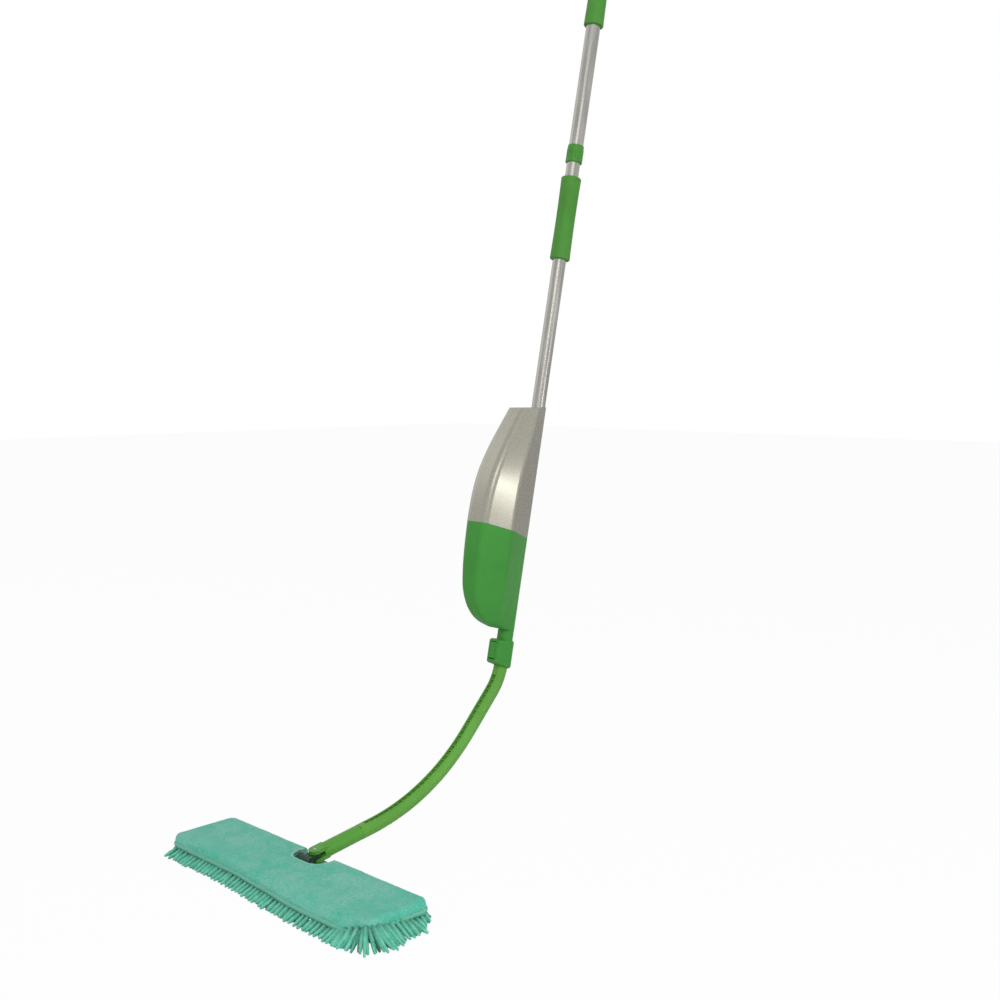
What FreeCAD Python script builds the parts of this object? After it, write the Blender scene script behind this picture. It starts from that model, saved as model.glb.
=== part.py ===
"""Flat mop with a fringed plush pad, a curved neck, a tank on the pole and a telescopic pole.

Frame: origin at the middle of the pad's sole on the floor, +X along the head, +Y back
towards the user, +Z up. Lengths are millimetres and angles are degrees.
"""
import FreeCAD, Part
import math
import os

V = FreeCAD.Vector
X_AXIS = V(1, 0, 0)

# ---- Pad and head ------------------------------------------------------------------
pad_length = 430.0            # plush body along X
pad_depth = 104.0             # plush body along Y
pad_corner = 12.0
pad_height = 30.0
pad_top_round = 6.0
sole_thickness = 10.0
soft_gap = 0.3                # clearance that soft pieces keep from their neighbours
binding_bottom = 12.0
binding_height = 6.0
binding_thickness = 2.0
fringe_front = 18.0           # how far the fringe lies out from the plush body
fringe_end = 15.0
fringe_back = 5.0
fringe_corner = 26.0
fringe_tip = 4.5              # height of the fringe at its outer end
notch_width = 68.0
notch_front = 13.0            # Y of the closed end of the notch
notch_corner = 22.0
plate_inset_x = 15.0          # from the plush body's outline in to the frame plate
plate_inset_y = 10.0
plate_corner = 14.0
plate_height = 7.0
plate_deck = 3.0              # thickness under the pockets
plate_rib = 2.0
pocket_columns = 6            # pockets on each side of the hub
pocket_rows = 3
hub_length = 56.0
hub_depth = 26.0
hub_base = 3.0
hub_corner = 4.0
ear_inner = 10.0              # half of the room between the ears
ear_thickness = 4.0
ear_round = 7.0
gusset_reach = 3.0
gusset_thickness = 3.0
hub_screw_head_r = 3.6
hub_screw_head = 1.6
hub_screw_r = 1.6
hub_screw_x = 21.0
hub_screw_edge = 5.0

# ---- Head joint --------------------------------------------------------------------
pitch_y = 22.0
pitch_z = 27.7
pitch_pin_r = 2.5
yaw_pin_r = 2.0
pin_running = 0.05            # radial clearance where a pin turns
pin_spacing = 17.0            # from the pitch pin to the yaw pin
barrel_r = 6.5
barrel_side_gap = 0.3
tongue_thickness = 7.0
tongue_half = 8.0
tongue_gap = 0.3
fork_cheek = 5.0
fork_half = 9.0
fork_slot_end = 10.5

# ---- Neck --------------------------------------------------------------------------
neck_rise = 8.0               # slope of the low end of the neck
socket_r = 10.9
socket_flare_start = 9.0
socket_flare_end = 18.0
socket_length = 78.0          # from the yaw pin to the open end
socket_bore_depth = 40.0
socket_chamfer = 1.5
tail_r = 8.0
tail_gap = 0.1
socket_screw_back = 22.0      # from the open end of the socket
socket_screw_r = 2.0
socket_screw_head_r = 3.6
socket_screw_head = 2.4
socket_screw_sunk = 0.4       # from the socket's face in to the top of the head
low_run = 102.0               # straight, from the yaw pin
low_bend_r = 330.0
low_bend = 38.0
mid_run = 73.5
high_bend_r = 85.0
high_bend = 32.0
arm_half_width = 10.0
arm_face_half = 6.0
arm_half_height = 9.8
arm_corner = 2.0
groove_width = 7.0
groove_depth = 4.5
groove_corner = 0.4
groove_start = 88.0           # along the centreline from the yaw pin
groove_end_margin = 22.0
groove_rib = 1.4
groove_rib_pitch = 9.5
groove_rib_below = 1.2        # ribs stop this far under the rim

# ---- Coupling ----------------------------------------------------------------------
bend_end_s = 7.0              # where the neck's bend ends, up the pole's axis
spigot_r = 9.2
spigot_end_s = 42.0
spigot_gap = 0.05
knuckle_half = 12.5
knuckle_front = 24.0
knuckle_front_round = 7.0
knuckle_back = 15.0           # half width and depth of the knuckle's round back
knuckle_back_round = 13.0
knuckle_round = 4.0           # round of the knuckle's top and bottom edges
knuckle_bottom_s = 1.0
knuckle_bottom_slant = 12.0
knuckle_top_s = 43.0
spigot_end_gap = 0.5
shoulder_r = 11.4             # room under the coupling for the neck's shoulder
housing_neck_r = 12.4
tube_stop_s = 46.0
tank_bottom_s = 60.0
lever_half = 6.0
lever_gap = 0.4
lever_bottom_s = 13.0
lever_top_s = 38.5
lever_proud = 0.8
lever_thickness = 5.6
lever_edge_round = 1.2
lever_pin_r = 1.5
lever_pin_s = 25.0
lever_pin_y = -16.5
lever_boss_r = 3.2
lever_pin_half = 10.0
lever_swing_room = 1.4        # room under the lever while it rocks
lever_top_room = 1.0
pocket_floor_y = -11.5
tooth_half = 3.6
tooth_bottom_s = 33.0
tooth_top_s = 37.0
tooth_reach = 1.3             # how far the tooth stands in the spigot
tooth_room = 1.0
tooth_gap = 0.3               # between the tooth's end and the floor of its notch
spring_r = 2.2
spring_wire_r = 0.35
spring_s = 16.5
spring_turns = 3.5

# ---- Housing: height up the pole's axis, depth ahead of it, half widths --------------
back_r = 12.4
housing_wall = 2.5
widest_share = 0.52           # where the section is widest, as a share of its depth
front_round_share = 0.6       # rounds of the section, as shares of its half widths
side_round_share = 0.45
back_round_share = 0.96
loft_degree = 2               # of the surfaces between the levels
tank_levels = [
    (60.0, 30.0, 14.0, 8.0),
    (64.0, 47.0, 15.8, 9.0),
    (71.0, 64.5, 18.0, 10.2),
    (84.0, 80.0, 23.0, 12.0),
    (106.0, 93.0, 28.8, 14.2),
    (138.0, 99.8, 32.8, 16.5),
    (180.0, 103.0, 35.2, 18.0),
    (232.0, 103.3, 36.5, 19.5),
]
cover_levels = [
    (190.0, 103.7, 36.5, 19.5),
    (228.0, 103.4, 36.5, 19.6),
    (252.0, 102.2, 36.2, 20.0),
    (283.0, 98.0, 35.5, 20.5),
    (328.0, 84.0, 33.0, 19.5),
    (364.0, 68.1, 30.0, 17.5),
    (420.0, 41.0, 26.0, 15.0),
]
parting_s = 204.5
parting_slant = 6.5
cover_top_s = 411.0
deck_thickness = 3.0
cavity_floor_s = 71.0
lip_height = 4.0
lip_thickness = 1.6
lip_gap = 0.3
filler_y = -58.0
filler_r = 17.0
filler_wall = 3.0
filler_height = 14.0
cap_r = 20.5
cap_wall = 2.5
cap_height = 13.0
cap_round = 1.5
cap_grips = 12
cap_grip_r = 1.6
cap_bar_half = 14.0
cap_bar_thickness = 4.0
cap_bar_height = 4.0
seal_thickness = 1.5
seal_margin = 0.5
cap_clearance = 0.3
cover_guide_gap = 0.3
cover_guide_wall = 1.1
cover_guide_length = 22.0
cover_guide_sunk = 1.0        # from the cover's top down to the guide
web_s = 292.0
web_thickness = 3.0
web_front = 17.0
valve_y = -40.0
valve_r = 5.0
valve_flange_r = 8.0
valve_flange = 2.0
valve_gap = 0.05
valve_sunk = 4.0              # from the tank's lowest edge up to the valve's tip
bill_slit = 0.8
bill_depth = 3.0
tank_screw_levels = (100.0, 190.0)
tank_screw_r = 1.6
tank_screw_head_r = 3.0
tank_screw_head = 1.2
tank_screw_head_gap = 0.2

# ---- Pole --------------------------------------------------------------------------
lower_tube_r = 10.7
upper_tube_r = 11.5
tube_wall = 0.6
tube_seat = 0.05
lower_tube_top_s = 1100.0
mid_grip_bottom_s = 648.0
mid_grip_length = 133.0
mid_grip_r = 15.9
grip_end_round = 2.2
grip_waist = 0.8
collar_bottom_s = 805.0
collar_length = 28.0
collar_r = 13.3
collar_top_r = 12.7
collar_edge = 1.0
collar_skirt = 19.6           # height of the collar's straight side
collar_floor = 1.8
collar_mouth_gap = 0.5
collar_flutes = 16
collar_flute_r = 1.3
collar_flute_start = 4.0
collar_flute_end = 17.0
thread_r = 11.9
thread_gap = 0.1
thread_start = 8.0
ferrule_length = 58.0
ferrule_sunk = 2.0            # from the collar's lower end in to the ferrule
ferrule_shoulder = 4.0        # from the slits up to the end of the upper tube
collet_length = 16.0
collet_taper = 1.0
collet_slits = 4
collet_slit = 1.2
collet_gap = 0.1
bush_length = 22.0
bush_gap = 0.1
bush_wall = 2.0
bush_head = 5.0
top_grip_bottom_s = 1030.0
top_grip_length = 128.0
top_grip_r = 15.8
cap_plug_length = 15.0
end_cap_height = 24.0
end_cap_step = 1.0            # narrower than the grip by this much all round
end_cap_round = 8.0
tab_half = 8.7
tab_start = 6.0
hang_hole_r = 5.0
hang_hole_drop = 11.0         # from the top of the end cap to the middle of its hole

# ---- Values that follow from those above -------------------------------------------
far = 2 * lower_tube_top_s    # past every piece, for shapes that cut right through
past = 1.0                    # how far a cutter runs on past a face
nearly = 1e-6                 # two heights closer than this are the same
pole_lean = 90.0 - neck_rise - low_bend - high_bend
plate_length = pad_length - 2 * plate_inset_x
plate_depth = pad_depth - 2 * plate_inset_y
plate_bottom = sole_thickness + soft_gap
plate_top = plate_bottom + plate_height
deck_top = plate_bottom + plate_deck
hub_middle = pitch_y + hub_depth / 2 - ear_round
fork_half_height = tongue_thickness / 2 + tongue_gap + fork_cheek
tube_screw_s = (tube_stop_s + tank_bottom_s) / 2
screw_seat_y = back_r - tank_screw_head
filler_base_s = parting_s - filler_y * math.tan(math.radians(parting_slant))
filler_top_s = filler_base_s + filler_height
valve_tip_s = tank_bottom_s + valve_sunk
collar_top_s = collar_bottom_s + collar_length
upper_tube_bottom_s = collar_bottom_s + collet_length + ferrule_shoulder
top_grip_top_s = top_grip_bottom_s + top_grip_length
rise = math.radians(neck_rise)
yaw_y = pitch_y + pin_spacing * math.cos(rise)
yaw_z = pitch_z + pin_spacing * math.sin(rise)
neck_runs = [
    (low_run, None),
    (low_bend_r * math.radians(low_bend), low_bend_r),
    (mid_run, None),
    (high_bend_r * math.radians(high_bend), high_bend_r),
]


def neck_place(distance):
    """Y, Z and slope of the neck's centreline, this far from the yaw pin."""
    y, z, slope = yaw_y, yaw_z, rise
    for length, radius in neck_runs:
        step = min(distance, length)
        if radius:
            turned = slope + step / radius
            y += radius * (math.sin(turned) - math.sin(slope))
            z += radius * (math.cos(slope) - math.cos(turned))
            slope = turned
        else:
            y += step * math.cos(slope)
            z += step * math.sin(slope)
        distance -= step
    return y, z, slope


neck_length = sum(length for length, radius in neck_runs)
bend_end_y, bend_end_z, top_slope = neck_place(neck_length)
foot = V(0, bend_end_y - bend_end_s * math.cos(top_slope),
         bend_end_z - bend_end_s * math.sin(top_slope))


# ---- Tools -------------------------------------------------------------------------
def on_neck(shape):
    """Takes a piece from the low neck's own frame (origin at the yaw pin) to its place."""
    shape.rotate(V(0, 0, 0), X_AXIS, neck_rise)
    shape.translate(V(0, yaw_y, yaw_z))
    return shape


def on_pole(shape):
    """Takes a piece from the pole's own frame (Z up the pole, Y to its back) to its place."""
    shape.rotate(V(0, 0, 0), X_AXIS, -pole_lean)
    shape.translate(foot)
    return shape


def cylinder(radius, bottom, top, x=0.0, y=0.0):
    return Part.makeCylinder(radius, top - bottom, V(x, y, bottom))


def cross_cylinder(radius, half, y, z):
    """A cylinder along X."""
    return Part.makeCylinder(radius, 2 * half, V(-half, y, z), X_AXIS)


def block(x0, x1, y0, y1, z0, z1):
    return Part.makeBox(x1 - x0, y1 - y0, z1 - z0, V(x0, y0, z0))


def rounded_slab(length, depth, corner, bottom, top, y=0.0):
    slab = block(-length / 2, length / 2, y - depth / 2, y + depth / 2, bottom, top)
    upright = [e for e in slab.Edges if abs(e.BoundBox.ZLength - (top - bottom)) < nearly]
    return slab.makeFillet(corner, upright)


def rounded_wire(corners, height):
    """A closed wire in a level plane; each corner is (x, y, radius) and becomes an arc."""
    edges, last_end, first_start = [], None, None
    count = len(corners)
    for i, (x, y, radius) in enumerate(corners):
        here = V(x, y, height)
        before = V(corners[i - 1][0], corners[i - 1][1], height)
        after = V(corners[(i + 1) % count][0], corners[(i + 1) % count][1], height)
        inward = (here - before).normalize()
        outward = (after - here).normalize()
        turn = inward.getAngle(outward)
        setback = radius * math.tan(turn / 2)
        start = here - inward * setback
        end = here + outward * setback
        bisector = (outward - inward).normalize()
        middle = here + bisector * (radius / math.cos(turn / 2) - radius)
        if last_end is None:
            first_start = start
        else:
            edges.append(Part.makeLine(last_end, start))
        edges.append(Part.Arc(start, middle, end).toShape())
        last_end = end
    edges.append(Part.makeLine(last_end, first_start))
    return Part.Wire(edges)


def turned(profile):
    """A solid of revolution about Z; the profile is a list of (radius, height)."""
    points = [V(r, 0, z) for r, z in profile]
    face = Part.Face(Part.makePolygon(points + [points[0]]))
    return face.revolve(V(0, 0, 0), V(0, 0, 1), 360)


def above(height, slant):
    """Everything above a plane across the pole that rises by slant towards the front."""
    space = block(-far, far, -far, far, 0, far)
    space.rotate(V(0, 0, 0), X_AXIS, -slant)
    space.translate(V(0, 0, height))
    return space


def sweep(face, start, runs):
    """Carries a face along straight runs and bends that share one side plane."""
    y, z, slope = start
    pieces = []
    for length, radius in runs:
        if radius:
            centre = V(0, y - radius * math.sin(slope), z + radius * math.cos(slope))
            angle = length / radius
            pieces.append(face.revolve(centre, X_AXIS, math.degrees(angle)))
            face = face.copy()
            face.rotate(centre, X_AXIS, math.degrees(angle))
            y += radius * (math.sin(slope + angle) - math.sin(slope))
            z += radius * (math.cos(slope) - math.cos(slope + angle))
            slope += angle
        else:
            step = V(0, math.cos(slope), math.sin(slope)) * length
            pieces.append(face.extrude(step))
            face = face.copy()
            face.translate(step)
            y += step.y
            z += step.z
    return pieces[0].fuse(pieces[1:]).removeSplitter()


def neck_face(corners, distance):
    """A face across the neck; corners are (x, height above the centreline, radius)."""
    wire = rounded_wire(corners, 0)
    wire.rotate(V(0, 0, 0), X_AXIS, 90)
    y, z, slope = neck_place(distance)
    wire.rotate(V(0, 0, 0), X_AXIS, math.degrees(slope))
    wire.translate(V(0, y, z))
    return Part.Face(wire)


def neck_runs_between(start, end):
    """The straight runs and bends of the neck between two distances from the yaw pin."""
    runs, passed = [], 0.0
    for length, radius in neck_runs:
        low, high = max(start, passed), min(end, passed + length)
        if high > low:
            runs.append((high - low, radius))
        passed += length
    return runs


def screw(head_r, head_height, shank_r, shank_length):
    """A pan head screw with its shank down -Z and the underside of its head at the origin."""
    head = cylinder(head_r, 0, head_height)
    shank = cylinder(shank_r, -shank_length, 0)
    slot = block(-head_r, head_r, -shank_r / 4, shank_r / 4, head_height / 2, head_height)
    return head.fuse(shank).cut(slot)


def save(name, shape):
    if not shape.isValid():
        print("not valid:", name)
    shape.exportStep("parts/" + name + ".step")


# ---- Pad ---------------------------------------------------------------------------
def pad_slab(offset, bottom, top):
    return rounded_slab(pad_length + 2 * offset, pad_depth + 2 * offset,
                        pad_corner + offset, bottom, top)


def pad_sole():
    return pad_slab(0, 0, sole_thickness)


def pad_cover():
    body = pad_slab(0, plate_bottom, pad_height)
    rim = [e for e in body.Edges if abs(e.BoundBox.ZMin - pad_height) < nearly]
    body = body.makeFillet(pad_top_round, rim)
    pocket = rounded_slab(plate_length + 2 * soft_gap, plate_depth + 2 * soft_gap,
                          plate_corner + soft_gap, plate_bottom, plate_top + soft_gap)
    open_end = pad_depth
    notch = rounded_slab(notch_width, open_end, notch_corner,
                         binding_bottom + binding_height + soft_gap, pad_height + past,
                         notch_front + open_end / 2)
    inside = rounded_slab(notch_width, open_end, notch_corner, plate_bottom, pad_height + past,
                          notch_front + open_end / 2)
    return body.cut([pocket, notch, inside.common(pocket_column())])


def pocket_column():
    """The room over the plate's own outline, up through the cover."""
    return rounded_slab(plate_length + 2 * soft_gap, plate_depth + 2 * soft_gap,
                        plate_corner + soft_gap, plate_bottom, pad_height + past)


def pad_binding():
    top = binding_bottom + binding_height
    outer = pad_slab(soft_gap + binding_thickness, binding_bottom, top)
    return outer.cut(pad_slab(soft_gap, binding_bottom - past, top + past))


def pad_fringe():
    top = binding_bottom - soft_gap
    skirt = rounded_slab(pad_length + 2 * fringe_end, pad_depth + fringe_front + fringe_back,
                         fringe_corner, 0, fringe_tip, (fringe_back - fringe_front) / 2)
    shoulder = pad_slab(soft_gap + binding_thickness, 0, top)
    low, high = (max(solid.Faces, key=lambda face: face.CenterOfMass.z).OuterWire
                 for solid in (skirt, shoulder))
    slope = Part.makeLoft([low, high], True, True)
    return skirt.fuse(slope).cut(pad_slab(soft_gap, -fringe_tip, top + fringe_tip))


# ---- Rigid head --------------------------------------------------------------------
def frame_plate():
    plate = rounded_slab(plate_length, plate_depth, plate_corner, plate_bottom, plate_top)
    hub_room = rounded_slab(hub_length + 2 * plate_rib, hub_depth + 2 * plate_rib, hub_corner,
                            deck_top, plate_top + past, hub_middle)
    cuts = [hub_room]
    side = plate_length / 2 - hub_length / 2 - 3 * plate_rib - plate_corner / 2
    column = side / pocket_columns
    row = (plate_depth - plate_rib) / pocket_rows
    for sign in (-1, 1):
        for i in range(pocket_columns):
            x = hub_length / 2 + 3 * plate_rib + i * column
            for j in range(pocket_rows):
                y = -plate_depth / 2 + plate_rib + j * row
                cell = block(x, x + column - plate_rib, y, y + row - plate_rib,
                             deck_top, plate_top + past)
                if sign < 0:
                    cell = cell.mirror(V(0, 0, 0), X_AXIS)
                cuts.append(cell)
    return plate.cut(cuts)


def hub_screw_places():
    for x in (-hub_screw_x, hub_screw_x):
        for y in (hub_middle - hub_depth / 2 + hub_screw_edge,
                  hub_middle + hub_depth / 2 - hub_screw_edge):
            yield x, y


def hub():
    base = rounded_slab(hub_length, hub_depth, hub_corner, deck_top, deck_top + hub_base,
                        hub_middle)
    parts = []
    for sign in (-1, 1):
        inner = sign * ear_inner
        outer = sign * (ear_inner + ear_thickness)
        low, high = min(inner, outer), max(inner, outer)
        ear = block(low, high, pitch_y - ear_round, pitch_y + ear_round, deck_top, pitch_z)
        crown = Part.makeCylinder(ear_round, high - low, V(low, pitch_y, pitch_z), X_AXIS)
        foot_z = deck_top + hub_base
        side_y = pitch_y - gusset_thickness / 2
        gusset = Part.Face(Part.makePolygon([
            V(outer, side_y, foot_z), V(outer + sign * gusset_reach, side_y, foot_z),
            V(outer, side_y, pitch_z), V(outer, side_y, foot_z)]))
        parts += [ear, crown, gusset.extrude(V(0, gusset_thickness, 0))]
    pin = cross_cylinder(pitch_pin_r, hub_length, pitch_y, pitch_z)
    holes = [cylinder(hub_screw_r, deck_top, deck_top + hub_base, x, y)
             for x, y in hub_screw_places()]
    return base.fuse(parts).cut([pin] + holes)


def hub_screws():
    screws = []
    for x, y in hub_screw_places():
        one = screw(hub_screw_head_r, hub_screw_head, hub_screw_r, hub_base)
        one.translate(V(x, y, deck_top + hub_base))
        screws.append(one)
    return Part.makeCompound(screws)


# ---- Head joint --------------------------------------------------------------------
def pitch_pin():
    return cross_cylinder(pitch_pin_r, ear_inner + ear_thickness, pitch_y, pitch_z)


def joint_cross():
    half = ear_inner - barrel_side_gap
    barrel = cross_cylinder(barrel_r, half, -pin_spacing, 0)
    top = tongue_thickness / 2
    tongue = block(-tongue_half, tongue_half, -pin_spacing, 0, -top, top)
    tip = cylinder(tongue_half, -top, top)
    body = barrel.fuse([tongue, tip]).removeSplitter()
    pitch_bore = cross_cylinder(pitch_pin_r + pin_running, half + past, -pin_spacing, 0)
    yaw_bore = cylinder(yaw_pin_r + pin_running, -barrel_r, barrel_r)
    return on_neck(body.cut([pitch_bore, yaw_bore]))


def yaw_pin():
    return on_neck(cylinder(yaw_pin_r, -fork_half_height, fork_half_height))


def along_y(shape):
    """Lays a piece made up Z down along +Y."""
    shape.rotate(V(0, 0, 0), X_AXIS, -90)
    return shape


def neck_socket():
    height = fork_half_height
    fork = block(-fork_half, fork_half, 0, socket_flare_end, -height, height)
    tip = cylinder(fork_half, -height, height)
    barrel = along_y(turned([
        (0, socket_flare_start), (fork_half, socket_flare_start), (socket_r, socket_flare_end),
        (socket_r, socket_length - socket_chamfer),
        (socket_r - socket_chamfer, socket_length), (0, socket_length)]))
    slot_half = tongue_thickness / 2 + tongue_gap
    slot = block(-socket_r, socket_r, -fork_half, fork_slot_end, -slot_half, slot_half)
    pin = cylinder(yaw_pin_r, -height, height)
    bore = along_y(cylinder(tail_r + tail_gap, socket_length - socket_bore_depth, socket_length))
    body = fork.fuse([tip, barrel]).removeSplitter().cut([slot, pin, bore])
    return on_neck(body.cut(socket_screw_room()))


def socket_screw_room():
    """The screw's hole and the counterbore under the socket."""
    y = socket_length - socket_screw_back
    hole = cylinder(socket_screw_r, -socket_r, 0, 0, y)
    seat = cylinder(socket_screw_head_r, -socket_r, -socket_r + socket_screw_head, 0, y)
    return hole.fuse(seat)


def socket_screw():
    seat_z = -socket_r + socket_screw_head
    length = -seat_z - tail_r / 2
    one = screw(socket_screw_head_r, socket_screw_head - socket_screw_sunk, socket_screw_r, length)
    one.rotate(V(0, 0, 0), X_AXIS, 180)
    one.translate(V(0, socket_length - socket_screw_back, seat_z))
    return on_neck(one)


# ---- Neck arm ----------------------------------------------------------------------
def neck_arm():
    section = [(arm_face_half, arm_half_height, arm_corner), (-arm_face_half, arm_half_height, arm_corner),
               (-arm_half_width, 0, arm_corner), (-arm_face_half, -arm_half_height, arm_corner),
               (arm_face_half, -arm_half_height, arm_corner), (arm_half_width, 0, arm_corner)]
    body = sweep(neck_face(section, socket_length), neck_place(socket_length),
                 neck_runs_between(socket_length, neck_length))
    tail = on_neck(along_y(cylinder(tail_r, socket_length - socket_bore_depth + tail_gap,
                                    socket_length)))
    spigot = on_pole(cylinder(spigot_r, bend_end_s, spigot_end_s))
    body = body.fuse([tail, spigot])

    groove_end = neck_length - groove_end_margin
    floor = arm_half_height - groove_depth
    rim = arm_half_height + past
    half = groove_width / 2
    groove_section = [(half, rim, groove_corner), (-half, rim, groove_corner),
                      (-half, floor, groove_corner), (half, floor, groove_corner)]
    groove = sweep(neck_face(groove_section, groove_start), neck_place(groove_start),
                   neck_runs_between(groove_start, groove_end))
    rib_top = arm_half_height - groove_rib_below
    ribs = []
    for i in range(1, int((groove_end - groove_start) / groove_rib_pitch) + 1):
        y, z, slope = neck_place(groove_start + i * groove_rib_pitch)
        rib = block(-half, half, -groove_rib / 2, groove_rib / 2, floor, rib_top)
        rib.rotate(V(0, 0, 0), X_AXIS, math.degrees(slope))
        rib.translate(V(0, y, z))
        ribs.append(rib)
    groove = groove.cut(ribs)
    notch = on_pole(block(-tooth_half - lever_gap, tooth_half + lever_gap,
                          -spigot_r - past, -spigot_r + tooth_reach + tooth_gap,
                          tooth_bottom_s - tooth_room, tooth_top_s + 2 * tooth_room))
    y = socket_length - socket_screw_back
    screw_hole = on_neck(cylinder(socket_screw_r, -tail_r - past, -tail_r / 2, 0, y))
    return body.cut([groove, notch, screw_hole])


# ---- Coupling and latch ------------------------------------------------------------
def knuckle_wire(height):
    back = knuckle_back
    return rounded_wire([
        (knuckle_half, -knuckle_front, knuckle_front_round), (back, back, knuckle_back_round),
        (-back, back, knuckle_back_round), (-knuckle_half, -knuckle_front, knuckle_front_round)],
        height)


def coupling():
    knuckle = Part.Face(knuckle_wire(-knuckle_front)).extrude(V(0, 0, knuckle_front + knuckle_top_s))
    knuckle = knuckle.common(above(knuckle_bottom_s, knuckle_bottom_slant))
    middle = (knuckle_bottom_s + knuckle_top_s) / 2
    level = [e for e in knuckle.Edges if e.BoundBox.ZMin > middle or e.BoundBox.ZMax < middle]
    knuckle = knuckle.makeFillet(knuckle_round, level)
    neck = cylinder(housing_neck_r, middle, tank_bottom_s)
    body = knuckle.fuse(neck).removeSplitter()
    spigot_bore = cylinder(spigot_r + spigot_gap, -knuckle_front, spigot_end_s + spigot_end_gap)
    shoulder = cylinder(shoulder_r, -knuckle_front, bend_end_s)
    tube_bore = cylinder(lower_tube_r + tube_seat, tube_stop_s, tank_bottom_s)
    pocket = block(-lever_half - lever_gap, lever_half + lever_gap, -2 * knuckle_front,
                   pocket_floor_y, lever_bottom_s - lever_swing_room, lever_top_s + lever_top_room)
    window = block(-tooth_half - lever_gap, tooth_half + lever_gap, pocket_floor_y, 0,
                   tooth_bottom_s - tooth_room, tooth_top_s + 2 * tooth_room)
    pin = cross_cylinder(lever_pin_r, lever_pin_half, lever_pin_y, lever_pin_s)
    tube_hole = coupling_screw_cut()
    return on_pole(body.cut([spigot_bore, shoulder, tube_bore, pocket, window, pin, tube_hole]))


def back_screw(height, seat_radius):
    """A screw from the pole's back, its head seated at this distance from the axis."""
    depth = seat_radius - lower_tube_r + tube_wall
    one = screw(tank_screw_head_r, tank_screw_head, tank_screw_r, depth)
    one.rotate(V(0, 0, 0), X_AXIS, -90)
    one.translate(V(0, seat_radius, height))
    return one


def back_hole(radius, start, height):
    return Part.makeCylinder(radius, 2 * back_r, V(0, start, height), V(0, 1, 0))


def back_screw_cut(height, seat_radius):
    return back_hole(tank_screw_r, 0, height).fuse(
        back_hole(tank_screw_head_r + tank_screw_head_gap, seat_radius, height))


def coupling_screw_cut():
    return back_screw_cut(tube_screw_s, screw_seat_y)


def tube_screw():
    return on_pole(back_screw(tube_screw_s, screw_seat_y))


def latch_lever():
    front = -knuckle_front - lever_proud
    back = front + lever_thickness
    core = (front + back) / 2
    plate = block(-lever_half, lever_half, front, back, lever_bottom_s, lever_top_s)
    rims = [e for e in plate.Edges if abs(e.BoundBox.YMax - front) < nearly]
    plate = plate.makeFillet(lever_edge_round, rims)
    boss = cross_cylinder(lever_boss_r, lever_half, lever_pin_y, lever_pin_s)
    stem = block(-lever_half, lever_half, core, lever_pin_y,
                 lever_pin_s - lever_boss_r, lever_pin_s + lever_boss_r)
    tooth = block(-tooth_half, tooth_half, core, -spigot_r + tooth_reach,
                  tooth_bottom_s, tooth_top_s)
    bore = cross_cylinder(lever_pin_r + pin_running, lever_half + past, lever_pin_y, lever_pin_s)
    return on_pole(plate.fuse([boss, stem, tooth]).cut(bore))


def latch_pin():
    return on_pole(cross_cylinder(lever_pin_r, lever_pin_half, lever_pin_y, lever_pin_s))


def latch_spring():
    """A short compression spring between the lever's lower half and the pocket's floor."""
    back = -knuckle_front - lever_proud + lever_thickness
    length = pocket_floor_y - back - 2 * spring_wire_r
    path = Part.makeHelix(length / spring_turns, length, spring_r)
    ring = Part.Wire([Part.makeCircle(spring_wire_r, V(spring_r, 0, 0), V(0, 1, 0))])
    coil = Part.Wire(path.Edges).makePipeShell([ring], True, True)
    coil.rotate(V(0, 0, 0), X_AXIS, -90)
    coil.translate(V(0, back + spring_wire_r, spring_s))
    return on_pole(coil)


# ---- Tank and cover ----------------------------------------------------------------
def housing_wire(height, depth, half_width, front_half, inset=0.0):
    """One level section: narrow front face, widest at half depth, sides tangent to the back."""
    front_round = front_round_share * front_half
    side_round = side_round_share * half_width
    front = front_half - inset / 2
    wide = half_width - inset
    near = depth - inset
    wide_y = widest_share * depth
    back = back_r - inset
    touch = math.acos(back / math.hypot(wide, wide_y)) - math.atan2(wide_y, wide)
    corner_x = back * math.tan((math.pi / 2 - touch) / 2)
    back_round = back_round_share * back
    return rounded_wire([
        (front, -near, front_round), (wide, -wide_y, side_round),
        (corner_x, back, back_round), (-corner_x, back, back_round),
        (-wide, -wide_y, side_round), (-front, -near, front_round)], height)


def housing_body(levels, inset=0.0):
    wires = [housing_wire(*level, inset) for level in levels]
    return Part.makeLoft(wires, True, False, False, loft_degree)


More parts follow.
